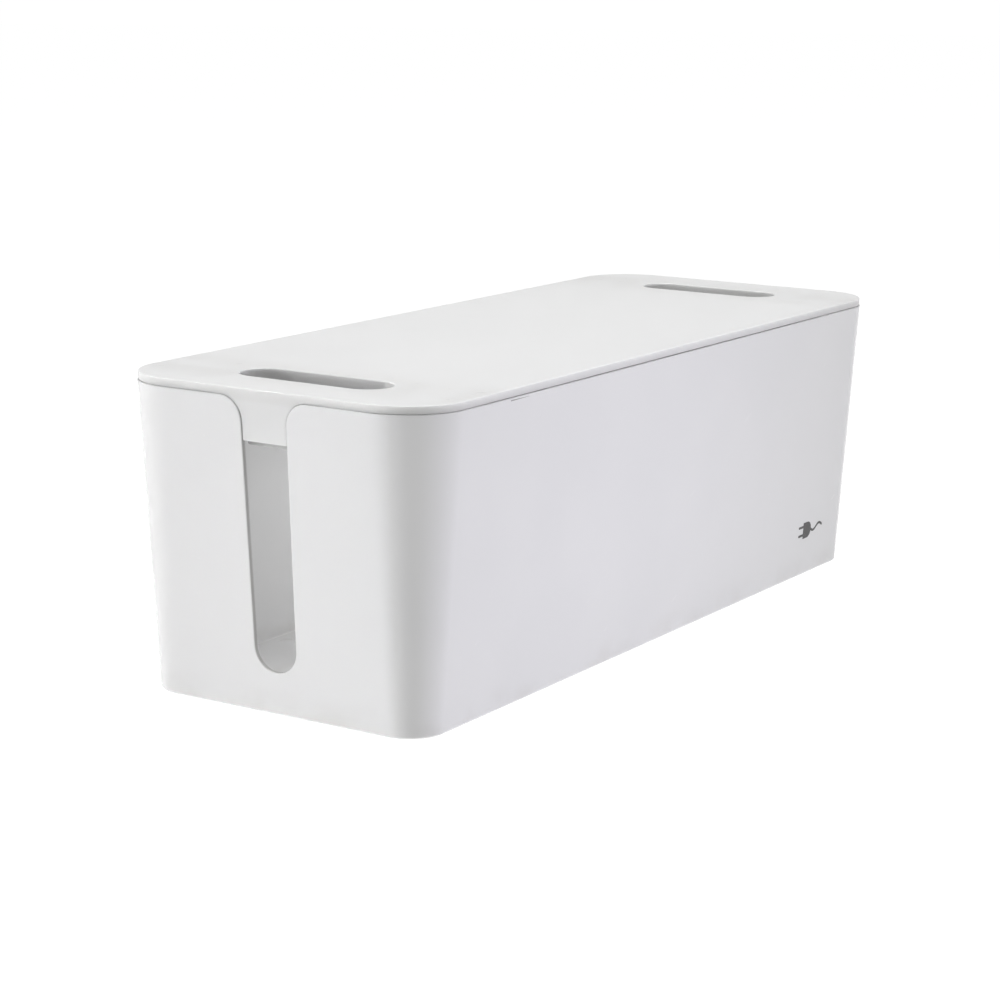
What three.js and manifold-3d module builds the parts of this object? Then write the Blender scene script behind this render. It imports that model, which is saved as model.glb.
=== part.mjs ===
// A cable tidy box: a drafted open tub with a cable slot in each end wall, a lift-off lid whose end tabs
// close the flared tops of those slots, and four rubber feet in round pockets under the floor.
// Millimetres, +Z up. The origin is on the ground, under the middle of the box.
import * as THREE from "three";
import { mergeVertices } from "three/addons/utils/BufferGeometryUtils.js";
import Module from "manifold-3d";

// Driving dimensions of the tub
const LENGTH = 400; // over the rim, along X
const WIDTH = 152; // over the rim, along Y
const TUB_HEIGHT = 128.6; // from the tub's underside to its rim
const DRAFT_X = 9.4; // each end wall leans in this far from rim to underside
const DRAFT_Y = 8; // each side wall leans in this far
const RIM_RADIUS = 26.5; // vertical corner, at the rim
const BASE_RADIUS = 15.5; // vertical corner, at the underside
const WALL = 2.4;
const FLOOR = 2.8;
const BASE_CHAMFER = 1;
const CORNER_STEPS = 12; // facets in each vertical corner

// Feet
const FOOT_RADIUS = 7;
const FOOT_HEIGHT = 2.5;
const FOOT_PROUD = 1.5; // how far a foot stands below the tub
const FOOT_EDGE = 0.5; // chamfer round the foot's sole
const FOOT_X = 164;
const FOOT_Y = 46;
const FOOT_FACETS = 32;
const POCKET_SLACK = 0.4; // radial room between foot and pocket
const GLUE_GAP = 0.3; // adhesive film between foot and pocket roof

// Cable slot in each end wall, heights above the tub's underside
const SLOT_LOW_HALF = 10.1; // half width, and radius of the round lower end
const SLOT_HIGH_HALF = 10.9; // half width where the flare starts
const SLOT_ROUND_Z = 27.8; // centre of the round lower end
const FLARE_RADIUS = 9.8; // rounded corners where the slot meets the rim
const ARC_STEPS = 16;

// Lid
const SEAM = 0.4; // open line between rim and lid
const LID_EDGE = 3; // height of the lid's visible edge
const LID_PLATE = 2.4; // thickness of the lid's top
const LID_INSET = 0.4; // the lid's sides stand inside the tub's by this
const LID_CHAMFER = 0.7;
const SKIRT_GAP = 0.4; // clearance between the lid's skirt and the tub's walls
const SKIRT_THICK = 1.8;
const SKIRT_DEPTH = 5; // below the rim
const TAB_BOTTOM_Z = 111; // above the tub's underside
const TAB_GAP = 0.35; // clearance between tab and slot
const LIP_DROP = 1.8; // a thin lip behind the tab reaches this much lower
const LIP_SIDE_GAP = 0.8; // clearance at the lip's two sides
const RIB_THICK = 1.4; // stiffening ribs under the lid's top
const RIB_DROP = 3;
const RIB_XS = [-110, -37, 37, 110];
const RIB_Y = 42;

// Hand slots in the lid, with a collar hanging below each
const HAND_X = 165; // slot centre from the middle of the lid
const HAND_HALF_WIDTH = 10.6;
const HAND_HALF_LENGTH = 35.4;
const HAND_CHAMFER = 0.5; // broken edge round the mouth
const COLLAR_WALL = 1.8;
const COLLAR_DEPTH = 8; // below the lid's top

// Heights in the part's frame
const BASE_Z = FOOT_PROUD;
const RIM_Z = BASE_Z + TUB_HEIGHT;
const LID_UNDER_Z = RIM_Z + SEAM;
const LID_TOP_Z = LID_UNDER_Z + LID_EDGE;
const PLATE_UNDER_Z = LID_TOP_Z - LID_PLATE;
const BEYOND = 2; // how far a cutter runs past what it cuts

const wasm = await Module();
wasm.setup();

// --- solids: three.js geometry to manifold-3d and back ---

function toSolid(geometry) {
  const bare = new THREE.BufferGeometry();
  bare.setAttribute("position", geometry.getAttribute("position"));
  bare.setIndex(geometry.index);
  const merged = mergeVertices(bare, 1e-4);
  return new wasm.Manifold(
    new wasm.Mesh({
      numProp: 3,
      vertProperties: new Float32Array(merged.attributes.position.array),
      triVerts: new Uint32Array(merged.index.array),
    }),
  );
}

function toGeometry(solid) {
  const mesh = solid.getMesh();
  const geometry = new THREE.BufferGeometry();
  geometry.setAttribute("position", new THREE.BufferAttribute(mesh.vertProperties, 3));
  geometry.setIndex(new THREE.BufferAttribute(mesh.triVerts, 1));
  geometry.computeVertexNormals();
  return geometry;
}

const join = (...solids) => solids.reduce((sum, next) => sum.add(next));

// --- the drafted rounded rectangle that both tub and lid follow ---

function outline(z, inset) {
  const share = (z - BASE_Z) / TUB_HEIGHT;
  const halfLength = LENGTH / 2 - DRAFT_X * (1 - share) - inset;
  const halfWidth = WIDTH / 2 - DRAFT_Y * (1 - share) - inset;
  const radius = THREE.MathUtils.lerp(BASE_RADIUS, RIM_RADIUS, share) - inset;
  const corners = [
    [1, 1, 0],
    [-1, 1, 1],
    [-1, -1, 2],
    [1, -1, 3],
  ];
  return corners.flatMap(([sideX, sideY, quarter]) => {
    const arc = new THREE.EllipseCurve(
      sideX * (halfLength - radius),
      sideY * (halfWidth - radius),
      radius,
      radius,
      (quarter * Math.PI) / 2,
      ((quarter + 1) * Math.PI) / 2,
    );
    return arc.getPoints(CORNER_STEPS).map((p) => new THREE.Vector3(p.x, p.y, z));
  });
}

// A closed skin through a stack of outlines with equal point counts, listed from the bottom up.
function loft(rings) {
  const count = rings[0].length;
  const last = rings.length - 1;
  const index = [];
  for (let level = 0; level < last; level++) {
    for (let i = 0; i < count; i++) {
      const a = level * count + i;
      const b = level * count + ((i + 1) % count);
      index.push(a, b, b + count, a, b + count, a + count);
    }
  }
  for (let i = 1; i < count - 1; i++) {
    index.push(0, i + 1, i);
    index.push(last * count, last * count + i, last * count + i + 1);
  }
  const geometry = new THREE.BufferGeometry().setFromPoints(rings.flat());
  geometry.setIndex(index);
  return toSolid(geometry);
}

const drafted = (inset, lowZ, highZ) => loft([outline(lowZ, inset), outline(highZ, inset)]);

// A solid pushed along X from a shape drawn in the Y-Z plane, centred on x.
function prismAlongX(shape, x, length) {
  const geometry = new THREE.ExtrudeGeometry(shape, {
    depth: length,
    bevelEnabled: false,
    curveSegments: ARC_STEPS,
  });
  geometry.applyMatrix4(new THREE.Matrix4().makeBasis(
    new THREE.Vector3(0, 1, 0),
    new THREE.Vector3(0, 0, 1),
    new THREE.Vector3(1, 0, 0),
  ));
  geometry.translate(x - length / 2, 0, 0);
  return toSolid(geometry);
}

// A solid pushed along Z from a shape drawn in the X-Y plane.
function prismAlongZ(shape, lowZ, highZ) {
  const geometry = new THREE.ExtrudeGeometry(shape, {
    depth: highZ - lowZ,
    bevelEnabled: false,
    curveSegments: ARC_STEPS,
  });
  geometry.translate(0, 0, lowZ);
  return toSolid(geometry);
}

function block(sizeX, sizeY, lowZ, highZ, x = 0, y = 0) {
  const geometry = new THREE.BoxGeometry(sizeX, sizeY, highZ - lowZ);
  geometry.translate(x, y, (lowZ + highZ) / 2);
  return toSolid(geometry);
}

// --- the tub ---

// The cable slot seen along X: round below, nearly straight sides, flared where it meets the rim.
function slotShape() {
  const roundZ = BASE_Z + SLOT_ROUND_Z;
  const flareZ = RIM_Z - FLARE_RADIUS;
  const mouth = SLOT_HIGH_HALF + FLARE_RADIUS;
  const shape = new THREE.Shape();
  shape.moveTo(mouth, RIM_Z + BEYOND);
  shape.lineTo(-mouth, RIM_Z + BEYOND);
  shape.lineTo(-mouth, RIM_Z);
  shape.absarc(-mouth, flareZ, FLARE_RADIUS, Math.PI / 2, 0, true);
  shape.lineTo(-SLOT_LOW_HALF, roundZ);
  shape.absarc(0, roundZ, SLOT_LOW_HALF, Math.PI, 2 * Math.PI, false);
  shape.lineTo(SLOT_HIGH_HALF, flareZ);
  shape.absarc(mouth, flareZ, FLARE_RADIUS, Math.PI, Math.PI / 2, true);
  shape.lineTo(mouth, RIM_Z + BEYOND);
  return shape;
}

const FOOT_PLACES = {
  foot_front_left: [-FOOT_X, -FOOT_Y],
  foot_front_right: [FOOT_X, -FOOT_Y],
  foot_back_left: [-FOOT_X, FOOT_Y],
  foot_back_right: [FOOT_X, FOOT_Y],
};

function footPocket([x, y]) {
  const roofZ = FOOT_HEIGHT + GLUE_GAP;
  const height = roofZ - BASE_Z + BEYOND;
  const geometry = new THREE.CylinderGeometry(
    FOOT_RADIUS + POCKET_SLACK,
    FOOT_RADIUS + POCKET_SLACK,
    height,
    FOOT_FACETS,
  );
  geometry.rotateX(Math.PI / 2);
  geometry.translate(x, y, roofZ - height / 2);
  return toSolid(geometry);
}

function tubSolid() {
  const outside = loft([
    outline(BASE_Z, BASE_CHAMFER),
    outline(BASE_Z + BASE_CHAMFER, 0),
    outline(RIM_Z, 0),
  ]);
  const cavity = drafted(WALL, BASE_Z + FLOOR, RIM_Z + BEYOND);
  const cutLength = 2 * (DRAFT_X + WALL + BEYOND);
  const slots = [-1, 1].map((end) => prismAlongX(slotShape(), (end * LENGTH) / 2, cutLength));
  const pockets = Object.values(FOOT_PLACES).map(footPocket);
  return outside.subtract(cavity).subtract(join(...slots, ...pockets));
}

// --- the lid ---

// The tab seen along X: it fills the flared top of the slot, with a clearance all round.
function tabShape(bottomZ, gap) {
  const flareZ = RIM_Z - FLARE_RADIUS;
  const half = SLOT_HIGH_HALF - gap;
  const mouth = SLOT_HIGH_HALF + FLARE_RADIUS;
  const radius = FLARE_RADIUS + gap;
  const shape = new THREE.Shape();
  shape.moveTo(mouth, PLATE_UNDER_Z);
  shape.lineTo(-mouth, PLATE_UNDER_Z);
  shape.lineTo(-mouth, flareZ + radius);
  shape.absarc(-mouth, flareZ, radius, Math.PI / 2, 0, true);
  shape.lineTo(-half, bottomZ);
  shape.lineTo(half, bottomZ);
  shape.lineTo(half, flareZ);
  shape.absarc(mouth, flareZ, radius, Math.PI, Math.PI / 2, true);
  shape.lineTo(mouth, PLATE_UNDER_Z);
  return shape;
}

function handSlotShape(grow) {
  const radius = HAND_HALF_WIDTH + grow;
  const straight = HAND_HALF_LENGTH - HAND_HALF_WIDTH;
  const shape = new THREE.Shape();
  shape.moveTo(radius, -straight);
  shape.lineTo(radius, straight);
  shape.absarc(0, straight, radius, 0, Math.PI, false);
  shape.lineTo(-radius, -straight);
  shape.absarc(0, -straight, radius, Math.PI, 2 * Math.PI, false);
  return shape;
}

const handSlotPrism = (end, grow, lowZ, highZ) =>
  prismAlongZ(handSlotShape(grow), lowZ, highZ).translate([end * HAND_X, 0, 0]);

function lidRibs() {
  const lowZ = PLATE_UNDER_Z - RIB_DROP;
  const highZ = PLATE_UNDER_Z + LID_PLATE / 2;
  const cross = RIB_XS.map((x) => block(RIB_THICK, WIDTH, lowZ, highZ, x));
  const along = [-1, 1].map((side) => block(LENGTH, RIB_THICK, lowZ, highZ, 0, side * RIB_Y));
  return join(...cross, ...along);
}

function lidSolid() {
  const skirtOut = WALL + SKIRT_GAP;
  const skirtIn = skirtOut + SKIRT_THICK;
  const deepZ = BASE_Z + TAB_BOTTOM_Z - LIP_DROP - BEYOND;
  const skirtZ = RIM_Z - SKIRT_DEPTH;
  const overlapZ = PLATE_UNDER_Z + LID_PLATE / 2;

  const inside = drafted(skirtIn, deepZ, PLATE_UNDER_Z);
  const plate = loft([
    outline(LID_UNDER_Z, LID_INSET),
    outline(LID_TOP_Z - LID_CHAMFER, LID_INSET),
    outline(LID_TOP_Z, LID_INSET + LID_CHAMFER),
  ]);
  const skirt = drafted(skirtOut, skirtZ, overlapZ);

  const tabLength = 2 * (DRAFT_X + WALL + BEYOND);
  const tabs = [-1, 1].flatMap((end) => {
    const x = (end * LENGTH) / 2;
    const tab = prismAlongX(tabShape(BASE_Z + TAB_BOTTOM_Z, TAB_GAP), x, tabLength);
    const lipShape = tabShape(BASE_Z + TAB_BOTTOM_Z - LIP_DROP, LIP_SIDE_GAP);
    const lip = prismAlongX(lipShape, x, tabLength);
    return [
      drafted(LID_INSET, deepZ, PLATE_UNDER_Z).intersect(tab),
      drafted(skirtOut, deepZ, PLATE_UNDER_Z).intersect(lip),
    ];
  });
  const ribs = lidRibs().intersect(drafted(skirtOut + SKIRT_THICK / 2, skirtZ, overlapZ));
  const collars = [-1, 1].map((end) =>
    handSlotPrism(end, COLLAR_WALL, LID_TOP_Z - COLLAR_DEPTH, overlapZ),
  );
  const mouths = [-1, 1].flatMap((end) => [
    handSlotPrism(end, 0, LID_TOP_Z - COLLAR_DEPTH - BEYOND, LID_TOP_Z + BEYOND),
    handSlotPrism(end, HAND_CHAMFER, LID_TOP_Z - HAND_CHAMFER, LID_TOP_Z + BEYOND),
  ]);
  return join(plate, skirt, ...tabs)
    .subtract(inside)
    .add(join(ribs, ...collars))
    .subtract(join(...mouths));
}

// --- the feet ---

function footGeometry() {
  const profile = [
    [0, 0],
    [FOOT_RADIUS - FOOT_EDGE, 0],
    [FOOT_RADIUS, FOOT_EDGE],
    [FOOT_RADIUS, FOOT_HEIGHT],
    [0, FOOT_HEIGHT],
  ];
  const points = profile.map(([radius, z]) => new THREE.Vector2(radius, z));
  return new THREE.LatheGeometry(points, FOOT_FACETS).rotateX(Math.PI / 2);
}

// --- materials and assembly ---

const shellWhite = new THREE.MeshStandardMaterial({ color: 0xf1f1f2, roughness: 0.4, metalness: 0 });
const lidWhite = new THREE.MeshStandardMaterial({ color: 0xf3f3f1, roughness: 0.55, metalness: 0 });
const footGrey = new THREE.MeshStandardMaterial({ color: 0x2e2e30, roughness: 0.85, metalness: 0 });

function named(name, geometry, material) {
  const mesh = new THREE.Mesh(geometry, material);
  mesh.name = name;
  return mesh;
}

const box = new THREE.Group();
box.add(named("tub", toGeometry(tubSolid()), shellWhite));
box.add(named("lid", toGeometry(lidSolid()), lidWhite));
for (const [name, [x, y]] of Object.entries(FOOT_PLACES)) {
  const foot = named(name, footGeometry(), footGrey);
  foot.position.set(x, y, 0);
  box.add(foot);
}

export default box;
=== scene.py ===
"""The looks of a cable tidy box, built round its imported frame. Metres, +Z up, in the frame's own axes.

The tub and the lid are closed skins laid out in rows of points: rows follow the box's drafted rounded
rectangle, and a rounded edge runs along the whole rim, down into each cable slot and up again. The lid
is the same idea turned over, with a tab at each end where the tub has a slot.
"""
import math
from itertools import pairwise

import bmesh
import bpy
from mathutils import Matrix, Vector


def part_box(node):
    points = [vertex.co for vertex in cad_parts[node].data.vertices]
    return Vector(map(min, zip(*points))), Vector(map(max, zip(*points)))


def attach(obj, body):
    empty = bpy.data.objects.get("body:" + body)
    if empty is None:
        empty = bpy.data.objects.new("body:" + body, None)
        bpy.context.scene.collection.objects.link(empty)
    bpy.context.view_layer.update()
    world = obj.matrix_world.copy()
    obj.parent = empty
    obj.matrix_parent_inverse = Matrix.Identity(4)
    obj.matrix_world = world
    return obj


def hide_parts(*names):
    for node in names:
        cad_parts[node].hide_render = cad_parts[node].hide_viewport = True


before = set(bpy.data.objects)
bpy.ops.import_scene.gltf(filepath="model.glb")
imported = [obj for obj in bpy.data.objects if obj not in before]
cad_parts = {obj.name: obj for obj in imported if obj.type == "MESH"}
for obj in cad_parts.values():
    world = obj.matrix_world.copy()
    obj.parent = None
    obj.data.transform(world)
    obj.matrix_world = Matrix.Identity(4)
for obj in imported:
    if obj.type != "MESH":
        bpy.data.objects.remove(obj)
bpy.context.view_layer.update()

# --- driving sizes, in metres ---

TUB_LOW, TUB_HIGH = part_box("tub")
FOOT_LOW, FOOT_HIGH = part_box("foot_front_left")

LENGTH = TUB_HIGH.x - TUB_LOW.x
WIDTH = TUB_HIGH.y - TUB_LOW.y
BASE_Z = TUB_LOW.z
RIM_Z = TUB_HIGH.z
LID_TOP_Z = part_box("lid")[1].z

# The tub's walls lean in towards the base by this much, and its vertical corners tighten
DRAFT_X = 0.0094
DRAFT_Y = 0.008
RIM_RADIUS = 0.0265
BASE_RADIUS = 0.0155
WALL = 0.0024
FLOOR_Z = BASE_Z + 0.0028
BASE_ROUND = 0.001
FLOOR_ROUND = 0.0008
EDGE_ROUND = 0.0005

# The cable slot in each end wall
SLOT_LOW_HALF = 0.0101
SLOT_HIGH_HALF = 0.0109
SLOT_ROUND_Z = BASE_Z + 0.0278
FLARE_RADIUS = 0.0098
FLARE_Z = RIM_Z - FLARE_RADIUS
FLARE_Y = SLOT_HIGH_HALF + FLARE_RADIUS

# The gap between tub and lid: SEAM beside the tabs and in the middle of the long sides, less at the ends
SEAM = 0.0003
SEAM_AT_ENDS = 0.0001

# The lid: its visible edge, the tabs that close the slots' flared tops, and the skirt inside the tub
LID_UNDER_Z = RIM_Z + SEAM_AT_ENDS
LID_INSET = 0.0004
LID_TOP_ROUND = 0.0004
LID_EDGE_ROUND = 0.0002
PLATE_UNDER_Z = LID_TOP_Z - 0.0024
TAB_LOW_Z = BASE_Z + 0.111
TAB_BACK = 0.003
TAB_CORNER = 0.0009
SKIRT_OUT = 0.0028
SKIRT_IN = 0.0046
SKIRT_LOW_Z = RIM_Z - 0.005
LIP_LOW_Z = TAB_LOW_Z - 0.0018
LIP_HALF = 0.0101
LIP_BLEND = 0.0015
EMBED_Z = PLATE_UNDER_Z + 0.0008

# The hand slots through the lid, and the collar under each
HAND_X = 0.165
HAND_HALF_WIDTH = 0.0106
HAND_HALF_LENGTH = 0.0354
HAND_ROUND = 0.0006
COLLAR_WALL = 0.0018
COLLAR_LOW_Z = LID_TOP_Z - 0.008

# Stiffening ribs under the lid
RIB_HALF = 0.0007
RIB_CROSS_LOW_Z = PLATE_UNDER_Z - 0.003
RIB_LONG_LOW_Z = PLATE_UNDER_Z - 0.0026
RIB_XS = (-0.110, -0.037, 0.037, 0.110)
RIB_Y = 0.042

# The feet, dished below, and their pockets in the tub
FOOT_RADIUS = (FOOT_HIGH.x - FOOT_LOW.x) / 2
FOOT_TOP_Z = FOOT_HIGH.z
FOOT_ROUND = 0.0006
DISH_DEPTH = 0.0003
DISH_RADIUS = 0.6 * FOOT_RADIUS
DISH_FLAT_RADIUS = 0.52 * FOOT_RADIUS
POCKET_RADIUS = FOOT_RADIUS + 0.0004
POCKET_ROOF_Z = FOOT_TOP_Z + 0.0003

# The marks that moulding leaves: ejector pins inside, and the gate under the base
PIN_MARK_RADIUS = 0.004
PIN_MARK_DEPTH = 0.00015
TUB_PIN_XS = (-0.109, 0, 0.109)
TUB_PIN_Y = 0.057
LID_PIN_XS = (-0.0735, 0.0735)
GATE_RADIUS = 0.005
GATE_DEPTH = 0.0004
GATE_STUB_RADIUS = 0.0009
GATE_STUB_LOW = 0.0001
GATE_STUB_EMBED = WALL / 4

# The small printed plug on the -Y wall: where its pins meet its body, and its height up the wall
MARK_X = 0.1385
MARK_UP = 0.0225
PRINT_THICKNESS = 0.00004
PRINT_BITE = 0.0001
PLUG_HALF = 0.004
PLUG_DEPTH = 0.0085
PIN_LENGTH = 0.0045
PIN_HALF = 0.0006
PIN_SPREAD = 0.0021
CORD_LENGTH = 0.0125
CORD_HALF = 0.0006
CORD_WAVE = 0.0013
CORD_STEPS = 24

# A short dark line on the -Y wall, just under the lid
DARK_LINE_X = (-0.141, -0.1275)
DARK_LINE_Z = RIM_Z - 0.0011
DARK_LINE_HALF = 0.00035

# How the plastic takes light: it is slightly translucent, and light goes this far into it
PLASTIC_SOCKETS = {"Subsurface Weight": 1, "Subsurface Radius": (1, 1, 1), "IOR": 1.52}
SHELL_GLOW = 0.0004
LID_GLOW = 0.0025

# The lid's grain dulls its gloss
LID_GLOSS = 0.3

# Colours, in linear red, green and blue. A pair is what a slow cloudy pattern varies between
SHELL_WHITES = ((0.814, 0.814, 0.817), (0.831, 0.830, 0.831))
SHELL_RUBBED = (0.72, 0.71, 0.69)
SHELL_DUST = (0.64, 0.62, 0.59)
DARK_LINE_BLACK = (0.22, 0.21, 0.20)
# Painted shade: the slots' cut faces
SLOT_CUT_PAINTED_SHADE = (0.6, 0.595, 0.585)
LID_WHITES = ((0.788, 0.789, 0.787), (0.794, 0.795, 0.793))
# Painted shade: the lid's upright edge band, a little darker than its top
LID_RIM_PAINTED_SHADE = (0.75, 0.75, 0.745)
LID_RUBBED = (0.74, 0.73, 0.71)
LID_HANDLED = (0.74, 0.72, 0.69)
# Painted shade: the lip below each tab, darkened as if in the tab's shadow
LIP_PAINTED_SHADE = (0.38, 0.38, 0.375)
INK_BLACKS = ((0.075, 0.074, 0.073), (0.11, 0.108, 0.105))
INK_PINHOLE = (0.6, 0.6, 0.6)
RUBBER_BLACKS = ((0.028, 0.028, 0.029), (0.045, 0.045, 0.046))
RUBBER_DUST = (0.22, 0.21, 0.19)

# Wear: the width of the rubbed edges and the size of their patches, and the length of hairline scratches
RUB_WIDTH = 0.0009
RUB_PATCH = 0.004
HAIR_LENGTH = 0.03
HAIR_SOFTNESS = 0.03

# An edge shows where its bevelled normal turns away from the true one: by nothing, and fully
BEVEL_SAMPLES = 4
FLAT_COSINE = 0.995
TURNED_COSINE = 0.9

# Where a colour Mix node keeps its two colours and its result
MIX_COLORS = slice(6, 8)
MIX_RESULT = 2

# The studio, with the camera where the photograph was taken from
CAMERA_AZIMUTH = -57.74
CAMERA_ELEVATION = 12.22
CAMERA_ROLL = 0.68
CAMERA_DISTANCE = 1.1732
CAMERA_LENS = 93.35
CAMERA_SENSOR = 36
CAMERA_SIGHT = 200
CAMERA_AIM = (0, 0, 0.0665)
CAMERA_SLIDE = (0.0150, 0.0110)
FLOOR_REACH = 9
FLOOR_PALENESS = 0.08
FLOOR_GLOW = 1
BACKDROP_REACH = 8
BACKDROP_GLOW = 1

# The side lights stand in a ring round the object and aim at its middle height
LIGHT_REACH = 1
LIGHT_Z = 0.17
AIM_Z = 0.07
SIDE_BOX = (0.3, 0.3)
VIOLET = (0.85, 0.812, 1)

# How finely curves are stepped
CORNER_STEPS = 24
SIDE_STEPS = 16
ARC_STEPS = 16
ROUND_STEPS = 4
CIRCLE_STEPS = 64
DOME_STEPS = 12

# Points this close are one vertex, edges this short are closed up, and cutters reach this far outside
WELD = 1e-7
SHORTEST_EDGE = 2e-6
BEYOND = 0.004


# --- meshes from rows of points ---

class Skin:
    """A mesh made of rows of points. Points in one place become one vertex."""

    def __init__(self):
        self.places = {}
        self.points = []
        self.faces = []

    def vertex(self, point):
        """The number of the vertex at a point."""
        place = tuple(round(value / WELD) for value in point)
        if place not in self.places:
            self.places[place] = len(self.points)
            self.points.append(tuple(point))
        return self.places[place]

    def face(self, corners):
        """One face, unless its corners fall together."""
        ring = list(dict.fromkeys(self.vertex(corner) for corner in corners))
        if len(ring) > 2:
            self.faces.append(ring)

    def strip(self, first, second):
        """Quads between two rows of equal length."""
        for i in range(len(first) - 1):
            self.face([first[i], first[i + 1], second[i + 1], second[i]])

    def halves(self, rows):
        """Quads between each row and the next, on the +Y half and again on the -Y half."""
        for first, second in pairwise(rows):
            self.strip(first, second)
            self.strip(mirrored(first), mirrored(second))

    def cap(self, row):
        """One flat face inside the ring that a +Y half row and its mirror image make."""
        self.face(row + mirrored(row)[::-1])

    def tube(self, rings):
        """Quads between closed rings."""
        for first, second in pairwise(rings):
            self.strip(first + first[:1], second + second[:1])

    def build(self, name):
        """The finished mesh as an object, its faces all pointing out."""
        mesh = bpy.data.meshes.new(name)
        mesh.from_pydata(self.points, [], self.faces)
        work = bmesh.new()
        work.from_mesh(mesh)
        bmesh.ops.recalc_face_normals(work, faces=work.faces)
        work.to_mesh(mesh)
        work.free()
        piece = bpy.data.objects.new(name, mesh)
        bpy.context.scene.collection.objects.link(piece)
        return piece


def mirrored(row):
    """The row on the -Y half."""
    return [(x, -y, z) for x, y, z in row]


def arc(centre, radius, start, end, steps):
    """Points (a, b) on an arc, angles in degrees."""
    turns = [math.radians(start + (end - start) * i / steps) for i in range(steps + 1)]
    return [(centre[0] + radius * math.cos(t), centre[1] + radius * math.sin(t)) for t in turns]


def rounding(radius):
    """Pairs (back, along) round an edge: back falls from radius to 0 as along grows to radius."""
    return [(radius - b, radius - a) for a, b in arc((0, 0), radius, 90, 0, ROUND_STEPS)][::-1]


def end_x(z, inset):
    """How far the drafted end wall is from the middle at height z."""
    share = (z - BASE_Z) / (RIM_Z - BASE_Z)
    return LENGTH / 2 - DRAFT_X * (1 - share) - inset


def half_outline(z, inset):
    """The drafted rounded rectangle at height z, on its +Y half, from the +X end round to the -X end."""
    share = (z - BASE_Z) / (RIM_Z - BASE_Z)
    half_y = WIDTH / 2 - DRAFT_Y * (1 - share) - inset
    radius = BASE_RADIUS + (RIM_RADIUS - BASE_RADIUS) * share - inset
    centre_x = end_x(z, inset) - radius
    first_corner = arc((centre_x, half_y - radius), radius, 0, 90, CORNER_STEPS)
    last_corner = arc((-centre_x, half_y - radius), radius, 90, 180, CORNER_STEPS)
    side = [(centre_x * (1 - 2 * i / SIDE_STEPS), half_y) for i in range(1, SIDE_STEPS)]
    return [(x, y, z) for x, y in first_corner + side + last_corner]


def row(z, inset, *ys):
    """A half outline with extra points on the two end walls, at the given distances from the middle."""
    x = end_x(z, inset)
    first = [(x, y, z) for y in ys]
    last = [(-x, y, z) for y in reversed(ys)]
    return first + half_outline(z, inset) + last


def edge_row(profile, inset):
    """A half row along an edge that leaves the rim to follow a profile of (y, z) points at each end."""
    first = [(end_x(z, inset), y, z) for y, z in profile]
    last = [(-x, y, z) for x, y, z in reversed(first)]
    return first + half_outline(profile[-1][1], inset) + last


# --- boolean work and shading ---

def combine(piece, tool, operation):
    """Cuts tool out of piece, or joins it on, and removes tool. Edges too short to see are closed up."""
    cut = piece.modifiers.new("cut", "BOOLEAN")
    cut.operation = operation
    cut.object = tool
    cut.solver = "MANIFOLD"
    bake(piece)
    bpy.data.objects.remove(tool)
    work = bmesh.new()
    work.from_mesh(piece.data)
    bmesh.ops.dissolve_degenerate(work, dist=SHORTEST_EDGE, edges=work.edges)
    work.to_mesh(piece.data)
    work.free()


def sink(piece, place, radius, low_z, high_z):
    """Cuts a round pocket between two heights."""
    combine(piece, disc("pocket", place, radius, low_z, high_z), "DIFFERENCE")


def bake(piece):
    """Replaces a piece's mesh by what its modifiers make of it."""
    shown = piece.evaluated_get(bpy.context.evaluated_depsgraph_get())
    mesh = bpy.data.meshes.new_from_object(shown)
    mesh.materials.clear()
    piece.modifiers.clear()
    piece.data = mesh


def shade(piece, sharp_degrees=40):
    """Smooth shading that keeps the large flat faces flat right up to their rounded edges."""
    piece.data.shade_smooth()
    piece.data.set_sharp_from_angle(angle=math.radians(sharp_degrees))
    weighted = piece.modifiers.new("weighted", "WEIGHTED_NORMAL")
    weighted.keep_sharp = True
    bake(piece)


# --- the tub ---

def slot_profile(back):
    """Half of the cable slot's outline, (y, z) from its lowest point to the rim, moved back from it."""
    low = arc((0, SLOT_ROUND_Z), SLOT_LOW_HALF + back, -90, 0, ARC_STEPS)
    flare = arc((FLARE_Y, FLARE_Z), FLARE_RADIUS - back, 180, 90, ARC_STEPS)
    return low + flare


def tub_walls(skin, inset, foot_rows):
    """A wall from the rows round its foot up to the slots and the rim, and the flat face inside them."""
    profile = slot_profile(EDGE_ROUND)
    skin.halves(foot_rows + [row(z, inset, y) for y, z in profile])
    skin.cap(foot_rows[0])


def bow_rim(tub):
    """The long sides' rim dips a little towards its middle, which widens the seam there."""
    for vertex in tub.data.vertices:
        along = vertex.co.x / (LENGTH / 2)
        high = max(0, 1 - (RIM_Z - vertex.co.z) / FLARE_RADIUS)
        vertex.co.z -= (SEAM - SEAM_AT_ENDS) * (1 - along ** 2) * high


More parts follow.
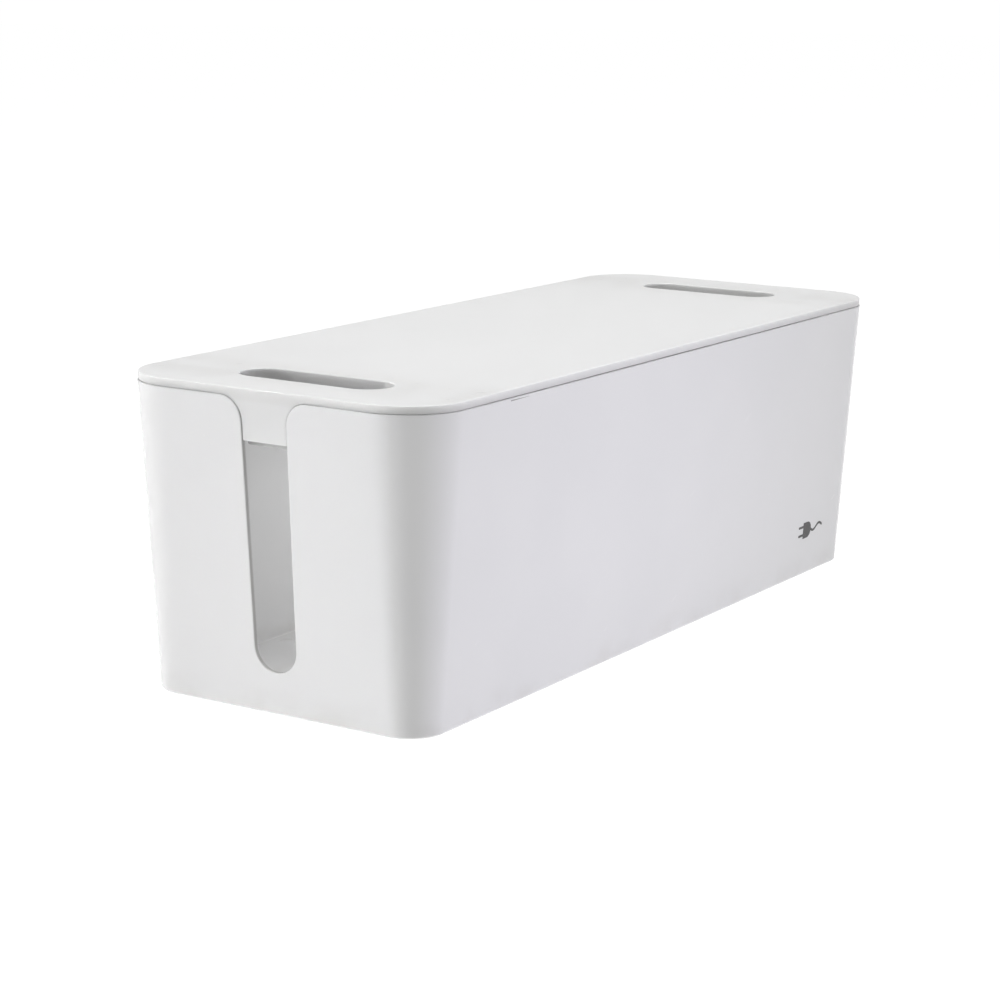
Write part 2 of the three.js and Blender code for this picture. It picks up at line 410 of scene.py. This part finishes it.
def make_tub():
    """The tub's skin, then the foot pockets and the marks that moulding leaves."""
    skin = Skin()
    base = [row(BASE_Z + up, back, 0) for back, up in rounding(BASE_ROUND)]
    floor = [row(FLOOR_Z + up, WALL + back, 0) for back, up in rounding(FLOOR_ROUND)]
    tub_walls(skin, 0, base)
    tub_walls(skin, WALL, floor)
    outer = [edge_row(slot_profile(back), depth) for back, depth in rounding(EDGE_ROUND)]
    inner = [edge_row(slot_profile(back), WALL - depth) for back, depth in rounding(EDGE_ROUND)]
    skin.halves(outer + inner[::-1])
    tub = skin.build("tub_shell")
    bow_rim(tub)
    for place in foot_places().values():
        sink(tub, place, POCKET_RADIUS, BASE_Z - BEYOND, POCKET_ROOF_Z)
    for x in TUB_PIN_XS:
        for y in (-TUB_PIN_Y, TUB_PIN_Y):
            sink(tub, (x, y), PIN_MARK_RADIUS, FLOOR_Z - PIN_MARK_DEPTH, FLOOR_Z + BEYOND)
    sink(tub, (0, 0), GATE_RADIUS, BASE_Z - BEYOND, BASE_Z + GATE_DEPTH)
    stub_high_z = BASE_Z + GATE_DEPTH + GATE_STUB_EMBED
    stub = disc("stub", (0, 0), GATE_STUB_RADIUS, BASE_Z + GATE_STUB_LOW, stub_high_z)
    combine(tub, stub, "UNION")
    return tub


# --- the lid ---

def tongue(half, low_z, corner, blend, radius, back):
    """Half of a tab's outline, (y, z) from the middle of its lower edge to where it meets the rim."""
    low = arc((half - corner, low_z + corner), corner - back, -90, 0, ROUND_STEPS)
    side = arc(blend, radius + back, 180, 90, ARC_STEPS)
    return [(0, low_z + back)] + low + side


def tab_profile(back):
    """The outline of the tab that closes a slot's flared top."""
    half = SLOT_HIGH_HALF - SEAM
    radius = FLARE_RADIUS + SEAM
    return tongue(half, TAB_LOW_Z, TAB_CORNER, (FLARE_Y, LID_UNDER_Z - radius), radius, back)


def lip_profile(back):
    """The outline of the skirt's own tongue, which shows as a lip below the tab."""
    blend = (LIP_HALF + LIP_BLEND, SKIRT_LOW_Z - LIP_BLEND)
    return tongue(LIP_HALF, LIP_LOW_Z, TAB_CORNER, blend, LIP_BLEND, back)


def tongue_walls(skin, profile, inset, upper_rows):
    """A wall with a tongue at each end, from the tongue's lower edge up through the given rows."""
    mouth = profile[-1]
    skin.halves([row(mouth[1], inset, 0, mouth[0])] + upper_rows)
    for end in (1, -1):
        rows = [[(end * end_x(z, inset), 0, z), (end * end_x(z, inset), y, z)] for y, z in profile[1:]]
        skin.halves(rows)


def lid_plate():
    """The lid's top, its edge all round and the two tabs."""
    skin = Skin()
    mouth = FLARE_Y
    top_edge = rounding(LID_TOP_ROUND)
    top = [row(LID_TOP_Z - down, LID_INSET + back, 0, mouth) for back, down in top_edge]
    tongue_walls(skin, tab_profile(LID_EDGE_ROUND), LID_INSET, top[::-1])
    tongue_walls(skin, tab_profile(LID_EDGE_ROUND), TAB_BACK, [row(PLATE_UNDER_Z, TAB_BACK, 0, mouth)])
    skin.cap(top[0])
    skin.cap(row(PLATE_UNDER_Z, TAB_BACK, 0, mouth))
    edge = rounding(LID_EDGE_ROUND)
    outer = [edge_row(tab_profile(back), LID_INSET + depth) for back, depth in edge]
    inner = [edge_row(tab_profile(back), TAB_BACK - depth) for back, depth in edge]
    skin.halves(outer + inner[::-1])
    return skin.build("lid_shell")


def lid_skirt():
    """The wall under the lid that keeps it in place inside the tub."""
    skin = Skin()
    mouth = LIP_HALF + LIP_BLEND
    upper = {inset: row(EMBED_Z, inset, 0, mouth) for inset in (SKIRT_OUT, SKIRT_IN)}
    for inset, high_row in upper.items():
        tongue_walls(skin, lip_profile(LID_EDGE_ROUND), inset, [high_row])
    skin.halves([upper[SKIRT_OUT], upper[SKIRT_IN]])
    edge = rounding(LID_EDGE_ROUND)
    outer = [edge_row(lip_profile(back), SKIRT_OUT + depth) for back, depth in edge]
    inner = [edge_row(lip_profile(back), SKIRT_IN - depth) for back, depth in edge]
    skin.halves(outer + inner[::-1])
    return skin.build("skirt")


def stadium(x, grow, z):
    """A round-ended slot's outline, its long way along Y."""
    radius = HAND_HALF_WIDTH + grow
    straight = HAND_HALF_LENGTH - HAND_HALF_WIDTH
    plus_end = arc((x, straight), radius, 0, 180, 2 * ARC_STEPS)
    minus_end = arc((x, -straight), radius, 180, 360, 2 * ARC_STEPS)
    return [(px, py, z) for px, py in plus_end + minus_end]


def solid(name, rings):
    """A closed piece from stacked rings, capped at both ends."""
    skin = Skin()
    skin.tube(rings)
    skin.face(rings[0])
    skin.face(rings[-1])
    return skin.build(name)


def collar(x):
    """The block that a hand slot's collar is cut from."""
    edge = rounding(LID_EDGE_ROUND)
    low = [stadium(x, COLLAR_WALL - back, COLLAR_LOW_Z + up) for back, up in edge]
    return solid("collar", low + [stadium(x, COLLAR_WALL, EMBED_Z)])


def mouth_cutter(x):
    """What a hand slot takes out of the lid, flaring out at both mouths to round them."""
    low = [stadium(x, back, COLLAR_LOW_Z + up) for back, up in rounding(LID_EDGE_ROUND)]
    high = [stadium(x, back, LID_TOP_Z - down) for back, down in rounding(HAND_ROUND)]
    below = stadium(x, LID_EDGE_ROUND, COLLAR_LOW_Z - BEYOND)
    above = stadium(x, HAND_ROUND, LID_TOP_Z + BEYOND)
    return solid("mouth", [below] + low + high[::-1] + [above])


def bar(name, low, high):
    """A plain bar between its lowest and highest corners."""
    low_x, low_y, low_z = low
    high_x, high_y, high_z = high
    outline = [(low_x, low_y), (high_x, low_y), (high_x, high_y), (low_x, high_y)]
    return solid(name, [[(x, y, z) for x, y in outline] for z in (low_z, high_z)])


def lid_ribs():
    """Four ribs across the lid and two along it, all ending inside the skirt."""
    middle = (SKIRT_OUT + SKIRT_IN) / 2
    reach_x = end_x(RIM_Z, middle)
    reach_y = WIDTH / 2 - middle
    for x in RIB_XS:
        yield bar("rib", (x - RIB_HALF, -reach_y, RIB_CROSS_LOW_Z), (x + RIB_HALF, reach_y, EMBED_Z))
    for y in (-RIB_Y, RIB_Y):
        low = (-reach_x, y - RIB_HALF, RIB_LONG_LOW_Z)
        yield bar("rib", low, (reach_x, y + RIB_HALF, EMBED_Z))


def make_lid():
    """The plate and everything that hangs from it, with the hand slots cut through."""
    lid = lid_plate()
    combine(lid, lid_skirt(), "UNION")
    for rib in lid_ribs():
        combine(lid, rib, "UNION")
    for x in (-HAND_X, HAND_X):
        combine(lid, collar(x), "UNION")
        combine(lid, mouth_cutter(x), "DIFFERENCE")
    for x in LID_PIN_XS:
        sink(lid, (x, 0), PIN_MARK_RADIUS, PLATE_UNDER_Z - BEYOND, PLATE_UNDER_Z + PIN_MARK_DEPTH)
    return lid


# --- the feet ---

def circle(place, radius, z):
    """A closed ring of points round a place (x, y), at height z."""
    points = arc(place, radius, 0, 360, CIRCLE_STEPS)[:-1]
    return [(x, y, z) for x, y in points]


def disc(name, place, radius, low_z, high_z):
    """A plain round disc."""
    return solid(name, [circle(place, radius, low_z), circle(place, radius, high_z)])


def foot_places():
    """Where the frame's feet stand, by node."""
    places = {}
    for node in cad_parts:
        if node.startswith("foot_"):
            low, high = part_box(node)
            places[node] = ((low.x + high.x) / 2, (low.y + high.y) / 2)
    return places


def make_foot(node, place):
    """A round pad with rounded edges and a shallow dish below."""
    low = [circle(place, FOOT_RADIUS - back, up) for back, up in rounding(FOOT_ROUND)]
    high = [circle(place, FOOT_RADIUS - back, FOOT_TOP_Z - down) for back, down in rounding(FOOT_ROUND)]
    dish = [circle(place, DISH_FLAT_RADIUS, DISH_DEPTH), circle(place, DISH_RADIUS, 0)]
    return solid(node + "_pad", dish + low + high[::-1])


# --- the printed mark ---

def wall_ring(outline, lift):
    """Places an outline of (along, up) points on the -Y wall, the given height proud of it."""
    ring = []
    for along, up in outline:
        z = BASE_Z + up
        lean = DRAFT_Y * (1 - up / (RIM_Z - BASE_Z))
        ring.append((along, lean - WIDTH / 2 - lift, z))
    return ring


def print_patch(outline):
    """A patch of ink that just reaches into the wall."""
    return solid("patch", [wall_ring(outline, -PRINT_BITE), wall_ring(outline, PRINT_THICKNESS)])


def ribbon(line, half):
    """The outline of a round-ended band that follows a line of points."""
    headings = []
    left = []
    right = []
    for i, (x, y) in enumerate(line):
        before = line[max(i - 1, 0)]
        after = line[min(i + 1, len(line) - 1)]
        heading = math.atan2(after[1] - before[1], after[0] - before[0])
        across = half * math.sin(heading)
        up = half * math.cos(heading)
        left.append((x - across, y + up))
        right.append((x + across, y - up))
        headings.append(math.degrees(heading))
    start = arc(line[0], half, headings[0] + 270, headings[0] + 90, ROUND_STEPS)
    end = arc(line[-1], half, headings[-1] + 90, headings[-1] - 90, ROUND_STEPS)
    return start[1:-1] + left + end[1:-1] + right[::-1]


def make_plug_mark():
    """A small generic pictogram: a mains plug with two pins and a wavy cord."""
    back_x = MARK_X + PLUG_DEPTH - PLUG_HALF
    body = [(MARK_X, MARK_UP - PLUG_HALF)] + arc((back_x, MARK_UP), PLUG_HALF, -90, 90, ARC_STEPS)
    mark = print_patch(body + [(MARK_X, MARK_UP + PLUG_HALF)])
    for side in (-1, 1):
        up = MARK_UP + side * PIN_SPREAD
        pin = ribbon([(MARK_X - PIN_LENGTH, up), (MARK_X + PIN_HALF, up)], PIN_HALF)
        combine(mark, print_patch(pin), "UNION")
    cord = []
    for i in range(CORD_STEPS + 1):
        share = i / CORD_STEPS
        x = MARK_X + PLUG_DEPTH - CORD_HALF + CORD_LENGTH * share
        cord.append((x, MARK_UP - CORD_WAVE * math.sin(math.tau * share)))
    combine(mark, print_patch(ribbon(cord, CORD_HALF)), "UNION")
    mark.name = "plug_mark"
    return mark


# --- finishes ---

class Finish:
    """A material of nodes round one Principled shader. Its patterns are laid out in metres."""

    def __init__(self, name, sockets):
        self.material = bpy.data.materials.new(name)
        self.material.use_nodes = True
        self.tree = self.material.node_tree
        self.shader = self.tree.nodes["Principled BSDF"]
        coordinates = self.node("ShaderNodeTexCoord")
        self.place = coordinates.outputs["Object"]
        self.facing = self.axes(coordinates.outputs["Normal"])
        self.x, self.y, self.z = self.axes(self.place)
        self.bumps = []
        self.feed(self.shader, sockets)

    def axes(self, vector):
        """A vector's X, Y and Z."""
        return self.node("ShaderNodeSeparateXYZ", {"Vector": vector}).outputs

    def feed(self, node, values):
        """Sets or links a node's inputs."""
        for socket, value in values.items():
            if isinstance(value, bpy.types.NodeSocket):
                self.tree.links.new(value, node.inputs[socket])
            else:
                node.inputs[socket].default_value = value

    def node(self, kind, values=None, **settings):
        """A new node with these input values and settings."""
        node = self.tree.nodes.new(kind)
        for name, value in settings.items():
            setattr(node, name, value)
        self.feed(node, values or {})
        return node

    def noise(self, size, detail=0, stretch=(1, 1, 1), turn=(0, 0, 0)):
        """Cloudy values whose features are about this size across, or longer along a stretched axis."""
        turned = {"Vector": self.place, "Rotation": turn}
        place = self.node("ShaderNodeMapping", turned).outputs["Vector"]
        long = {"Vector": place, "Scale": [1 / share for share in stretch]}
        place = self.node("ShaderNodeMapping", long).outputs["Vector"]
        values = {"Vector": place, "Scale": 1 / size, "Detail": detail}
        return self.node("ShaderNodeTexNoise", values).outputs["Fac"]

    def ease(self, value, low, high, to_low=0, to_high=1):
        """Leads a value that runs from low to high smoothly from to_low to to_high."""
        values = {"Value": value, "From Min": low, "From Max": high, "To Min": to_low, "To Max": to_high}
        node = self.node("ShaderNodeMapRange", values, interpolation_type="SMOOTHSTEP")
        return node.outputs["Result"]

    def follow(self, value, low, high, to_low, to_high):
        """Leads a value that runs from low to high in a straight line from to_low to to_high, and on."""
        values = {"Value": value, "From Min": low, "From Max": high, "To Min": to_low, "To Max": to_high}
        return self.node("ShaderNodeMapRange", values, clamp=False).outputs["Result"]

    def math(self, operation, *values):
        """One step of arithmetic."""
        return self.node("ShaderNodeMath", dict(enumerate(values)), operation=operation).outputs[0]

    def mix(self, share, first, second):
        """The first colour where the share is 0, the second where it is 1."""
        node = self.node("ShaderNodeMix", {"Factor": share}, data_type="RGBA")
        for socket, value in zip(node.inputs[MIX_COLORS], (first, second)):
            if isinstance(value, bpy.types.NodeSocket):
                self.tree.links.new(value, socket)
            else:
                socket.default_value = (*value, 1)
        return node.outputs[MIX_RESULT]

    def stain(self, color, share, strength, tint):
        """Lays a tint over a colour, this strongly where the share is 1."""
        return self.mix(self.math("MULTIPLY", share, strength), color, tint)

    def edges(self, width):
        """1 along the object's edges, 0 away from them."""
        turned = self.node("ShaderNodeBevel", {"Radius": width}, samples=BEVEL_SAMPLES).outputs["Normal"]
        true = self.node("ShaderNodeNewGeometry").outputs["Normal"]
        dot = self.node("ShaderNodeVectorMath", {0: turned, 1: true}, operation="DOT_PRODUCT")
        return self.ease(dot.outputs["Value"], FLAT_COSINE, TURNED_COSINE)

    def hairlines(self, size, turn, rarity):
        """Sparse straight scratches."""
        lines = self.noise(size, 0, (HAIR_LENGTH / size, 1, 1), turn)
        return self.ease(lines, rarity, rarity + HAIR_SOFTNESS)

    def absolute(self, value):
        """The value without its sign."""
        return self.math("ABSOLUTE", value)

    def product(self, *shares):
        """The product of several shares."""
        product = shares[0]
        for share in shares[1:]:
            product = self.math("MULTIPLY", product, share)
        return product

    def bump(self, height, distance):
        """Relief this deep, on top of any before it."""
        values = {"Height": height, "Distance": distance}
        if self.bumps:
            values["Normal"] = self.bumps[-1]
        self.bumps.append(self.node("ShaderNodeBump", values).outputs["Normal"])

    def finish(self, color, roughness):
        """The finished material."""
        self.feed(self.shader, {"Base Color": color, "Roughness": roughness, "Normal": self.bumps[-1]})
        return self.material


def rubbed_edges(skin):
    """Edges that are worn in patches."""
    patches = skin.ease(skin.noise(size=RUB_PATCH, detail=3), 0.4, 0.6)
    return skin.product(skin.edges(width=RUB_WIDTH), patches)


def shell_finish():
    """Glossy moulded plastic: a faint orange peel, cloudy handling marks, hairlines, rubbed edges, a
    short dark line under the lid, and painted shade on the slots' cut faces.
    """
    skin = Finish("shell_plastic", PLASTIC_SOCKETS | {"Subsurface Scale": SHELL_GLOW})
    clouds = skin.noise(size=0.08, detail=2)
    smudges = skin.noise(size=0.022, detail=4)
    rubbed = skin.product(rubbed_edges(skin), skin.ease(skin.z, BASE_Z + 0.002, BASE_Z + 0.006))
    level_hairs = skin.hairlines(size=0.0005, turn=(0.4, 0.5, 0.2), rarity=0.82)
    slanted_hairs = skin.hairlines(size=0.0004, turn=(0.1, -0.9, 1.3), rarity=0.83)
    hairs = skin.math("MAXIMUM", level_hairs, slanted_hairs)
    dust = skin.product(skin.ease(skin.z, BASE_Z + 0.014, BASE_Z), skin.ease(smudges, 0.4, 0.7))
    color = skin.mix(skin.ease(clouds, 0.35, 0.65), *SHELL_WHITES)
    color = skin.stain(color, dust, 0.25, SHELL_DUST)
    color = skin.stain(color, rubbed, 0.3, SHELL_RUBBED)
    color = skin.stain(color, dark_line_mask(skin), 0.8, DARK_LINE_BLACK)
    # Painted shade on the slots' cut faces
    color = skin.mix(slot_cut_painted_shade_mask(skin, smudges), color, SLOT_CUT_PAINTED_SHADE)
    roughness = skin.ease(smudges, 0.3, 0.7, 0.17, 0.25)
    roughness = skin.math("ADD", roughness, skin.product(hairs, 0.03))
    roughness = skin.math("ADD", roughness, skin.product(rubbed, 0.2))
    skin.bump(skin.noise(size=0.03), distance=0.00003)
    skin.bump(skin.noise(size=0.0016, detail=1), distance=0.000004)
    return skin.finish(color, roughness)


def slot_cut_painted_shade_mask(skin, smudges):
    """The cut faces of each slot, greyed a little unevenly as painted shade. The inner rounding is left
    unpainted.
    """
    end = skin.follow(skin.z, BASE_Z, RIM_Z, end_x(BASE_Z, 0), end_x(RIM_Z, 0))
    depth = skin.math("SUBTRACT", end, skin.absolute(skin.x))
    in_wall = skin.ease(depth, WALL - 0.0004, WALL - 0.0009)
    in_slot = skin.ease(skin.absolute(skin.y), SLOT_HIGH_HALF + 0.0014, SLOT_HIGH_HALF + 0.0006)
    on_cut = skin.ease(skin.absolute(skin.facing["X"]), 0.6, 0.3)
    return skin.product(in_wall, in_slot, on_cut, skin.ease(smudges, 0.3, 0.6, 0.8, 1))


def dark_line_mask(skin):
    """A short dark line on the -Y wall just under the lid, thinning out towards +X."""
    left, right = DARK_LINE_X
    half = skin.follow(skin.x, left, right, DARK_LINE_HALF, DARK_LINE_HALF / 6)
    away = skin.absolute(skin.math("SUBTRACT", skin.z, DARK_LINE_Z))
    line = skin.ease(skin.math("DIVIDE", away, half), 1, 0.4)
    reach = skin.math("COMPARE", skin.x, (left + right) / 2, (right - left) / 2)
    front = skin.math("LESS_THAN", skin.y, 0)
    return skin.product(line, reach, front)


def lid_finish():
    """The same plastic with a fine spark-eroded grain, polished a little where hands lift it, with
    painted shade on its upright edge band and on the lip below each tab.
    """
    sockets = PLASTIC_SOCKETS | {"Subsurface Scale": LID_GLOW, "Specular IOR Level": LID_GLOSS}
    skin = Finish("lid_plastic", sockets)
    clouds = skin.noise(size=0.09, detail=2)
    smudges = skin.noise(size=0.018, detail=4)
    from_slot = skin.absolute(skin.math("SUBTRACT", skin.absolute(skin.x), HAND_X))
    handled = skin.product(skin.ease(from_slot, 0.032, 0.008), skin.ease(smudges, 0.35, 0.6))
    rubbed = rubbed_edges(skin)
    hairs = skin.hairlines(size=0.0005, turn=(0.0, 0.1, 0.7), rarity=0.79)
    color = skin.mix(skin.ease(clouds, 0.35, 0.65), *LID_WHITES)
    # Painted shade on the lid's upright edge band
    color = skin.mix(rim_painted_shade_mask(skin), color, LID_RIM_PAINTED_SHADE)
    # Painted shade on the lip below each tab
    color = skin.mix(painted_lip_shade_mask(skin, smudges), color, LIP_PAINTED_SHADE)
    color = skin.stain(color, handled, 0.12, LID_HANDLED)
    color = skin.stain(color, rubbed, 0.3, LID_RUBBED)
    roughness = skin.ease(smudges, 0.3, 0.7, 0.415, 0.445)
    roughness = skin.math("SUBTRACT", roughness, skin.product(handled, 0.08))
    roughness = skin.math("SUBTRACT", roughness, skin.product(hairs, 0.1))
    grain = skin.math("ADD", skin.noise(size=0.0004, detail=1), skin.noise(size=0.0011, detail=1))
    skin.bump(skin.noise(size=0.03), distance=0.00002)
    skin.bump(grain, distance=0.00002)
    return skin.finish(color, roughness)


def rim_painted_shade_mask(skin):
    """The lid's upright outer edge band, greyed a little as painted shade."""
    beyond_x = skin.math("SUBTRACT", skin.absolute(skin.x), LENGTH / 2 - HAND_HALF_WIDTH)
    beyond_y = skin.math("SUBTRACT", skin.absolute(skin.y), WIDTH / 2 - HAND_HALF_WIDTH)
    outside = skin.math("GREATER_THAN", skin.math("MAXIMUM", beyond_x, beyond_y), 0)
    upright = skin.ease(skin.absolute(skin.facing["Z"]), 0.8, 0.3)
    return skin.product(outside, upright, skin.ease(skin.z, RIM_Z - 0.003, RIM_Z))


def painted_lip_shade_mask(skin, smudges):
    """The lip below each tab, its colour darkened a little unevenly to paint the shade it sits in behind
    the tab.
    """
    low = skin.ease(skin.z, TAB_LOW_Z + 0.0003, TAB_LOW_Z)
    return skin.product(low, skin.ease(smudges, 0.3, 0.6, 0.85, 1))


def ink_finish():
    """Pad-printed ink: a soft grey black, slightly uneven, with pinholes."""
    skin = Finish("print_ink", {"IOR": 1.5})
    density = skin.noise(size=0.003, detail=3)
    pinholes = skin.ease(skin.noise(size=0.0005, detail=1), 0.70, 0.74)
    color = skin.mix(skin.ease(density, 0.3, 0.7), *INK_BLACKS)
    color = skin.stain(color, pinholes, 0.5, INK_PINHOLE)
    skin.bump(density, distance=0.00001)
    return skin.finish(color, skin.ease(density, 0.3, 0.7, 0.45, 0.6))


def rubber_finish():
    """Dark rubber with a pebbled skin and a little dust."""
    skin = Finish("foot_rubber", {"IOR": 1.5})
    pebbles = skin.noise(size=0.0006, detail=2)
    dust = skin.noise(size=0.005, detail=4)
    color = skin.mix(skin.ease(pebbles, 0.3, 0.7), *RUBBER_BLACKS)
    color = skin.mix(skin.ease(dust, 0.5, 0.8, 0, 0.35), color, RUBBER_DUST)
    skin.bump(pebbles, distance=0.00005)
    return skin.finish(color, skin.ease(dust, 0.3, 0.8, 0.62, 0.88))


# --- the studio ---

def add(name, data):
    """A new object in the scene."""
    thing = bpy.data.objects.new(name, data)
    bpy.context.scene.collection.objects.link(thing)
    return thing


def from_camera(turn, reach, height):
    """A place at this bearing from the camera's side of the object, in degrees, positive to its left."""
    bearing = math.radians(CAMERA_AZIMUTH - turn)
    return Vector((math.sin(bearing) * reach, -math.cos(bearing) * reach, height))


def make_camera():
    """The camera at the photograph's angle, slid sideways and up to frame the object as it does."""
    elevation = math.radians(CAMERA_ELEVATION)
    back = from_camera(turn=0, reach=math.cos(elevation), height=math.sin(elevation))
    roll = Matrix.Rotation(math.radians(CAMERA_ROLL), 3, "Z")
    turn = back.to_track_quat("Z", "Y").to_matrix() @ roll
    aim = Vector(CAMERA_AIM) - turn.col[0] * CAMERA_SLIDE[0] - turn.col[1] * CAMERA_SLIDE[1]
    data = bpy.data.cameras.new("camera")
    data.lens = CAMERA_LENS
    data.sensor_width = CAMERA_SENSOR
    data.clip_end = CAMERA_SIGHT
    camera = add("camera", data)
    camera.matrix_world = Matrix.Translation(aim + back * CAMERA_DISTANCE) @ turn.to_4x4()
    bpy.context.scene.camera = camera


def softbox(name, place, target, size, watts, color=(1, 1, 1), spread=180, gleam=False):
    """A rectangular light aimed at a target. It shows in glossy surfaces only if it may gleam."""
    data = bpy.data.lights.new(name, "AREA")
    data.shape = "RECTANGLE"
    data.size, data.size_y = size
    data.energy = watts
    data.color = color
    data.spread = math.radians(spread)
    light = add(name, data)
    light.visible_camera = False
    light.visible_glossy = gleam
    light.location = place
    light.rotation_mode = "QUATERNION"
    light.rotation_quaternion = (Vector(target) - Vector(place)).to_track_quat("-Z", "Y")


def make_lights():
    """Soft light from above, from the left and on the far end, a faint violet fill on the right, and a
    little inside the box for what comes in through the slots. The camera's own side stays unlit."""
    softbox("overhead", place=(0, 0, 1.5), target=(0, 0, 0), size=(1, 1), watts=24.9, gleam=True)
    left = from_camera(turn=78, reach=LIGHT_REACH, height=LIGHT_Z)
    near_end = (-0.2, 0, AIM_Z)
    softbox("left", left, near_end, SIDE_BOX, watts=2.65)
    near_end_and_wall = (-0.2, -0.05, AIM_Z)
    softbox("left_strip", left, near_end_and_wall, size=(0.1, 0.3), watts=0.0443, spread=14)
    right = from_camera(turn=-93, reach=LIGHT_REACH, height=LIGHT_Z)
    near_corner = (-0.15, -0.07, AIM_Z)
    softbox("right", right, near_corner, SIDE_BOX, watts=0.179, color=VIOLET, spread=35)
    behind = from_camera(turn=-158, reach=LIGHT_REACH, height=0.2)
    far_end = (0.2, 0, AIM_Z)
    softbox("far_end", behind, far_end, SIDE_BOX, watts=0.4, spread=60)
    softbox("inside", place=(0, 0, 0.112), target=(0, 0, 0), size=(0.26, 0.06), watts=0.103)


def studio_finish(name, paleness, glow):
    """A plain grey surface for the studio that also shines evenly, and isn't sampled as a lamp."""
    material = bpy.data.materials.new(name)
    material.use_nodes = True
    shader = material.node_tree.nodes["Principled BSDF"]
    shader.inputs["Base Color"].default_value = (paleness, paleness, paleness, 1)
    shader.inputs["Roughness"].default_value = 1
    shader.inputs["Emission Color"].default_value = (1, 1, 1, 1)
    shader.inputs["Emission Strength"].default_value = glow
    material.cycles.emission_sampling = "NONE"
    return material


def make_floor():
    """A light table: its own glow keeps it white out to the horizon."""
    mesh = bpy.data.meshes.new("floor")
    corners = [(-1, -1), (1, -1), (1, 1), (-1, 1)]
    mesh.from_pydata([(x * FLOOR_REACH, y * FLOOR_REACH, 0) for x, y in corners], [], [range(4)])
    mesh.materials.append(studio_finish("pale_floor", FLOOR_PALENESS, FLOOR_GLOW))
    add("floor", mesh)


def make_backdrop():
    """A white dome that only the camera sees, so that it lights nothing."""
    skin = Skin()
    slopes = [math.radians(90 * i / DOME_STEPS) for i in range(DOME_STEPS + 1)]
    skin.tube([
        circle((0, 0), BACKDROP_REACH * math.cos(slope) + WELD, BACKDROP_REACH * math.sin(slope))
        for slope in slopes
    ])
    dome = skin.build("backdrop")
    dome.data.materials.append(studio_finish("pale_backdrop", 0, BACKDROP_GLOW))
    dome.visible_diffuse = False
    dome.visible_glossy = False
    dome.visible_transmission = False
    dome.visible_shadow = False


def make_world():
    """No light from the world, and colours shown as they are."""
    world = bpy.data.worlds.new("world")
    world.use_nodes = True
    world.node_tree.nodes["Background"].inputs["Strength"].default_value = 0
    bpy.context.scene.world = world
    bpy.context.scene.view_settings.view_transform = "Standard"


# --- the scene ---

def place_piece(piece, body, finish, stands_for=None):
    """Shades a finished mesh, gives it its material and fixes it to a body of the frame."""
    shade(piece)
    piece.data.materials.append(finish)
    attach(piece, body)
    if stands_for:
        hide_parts(stands_for)


place_piece(make_tub(), "tub", shell_finish(), "tub")
place_piece(make_lid(), "lid", lid_finish(), "lid")
place_piece(make_plug_mark(), "tub", ink_finish())
rubber = rubber_finish()
for node, place in foot_places().items():
    place_piece(make_foot(node, place), "tub", rubber, node)

make_camera()
make_floor()
make_backdrop()
make_world()
make_lights()
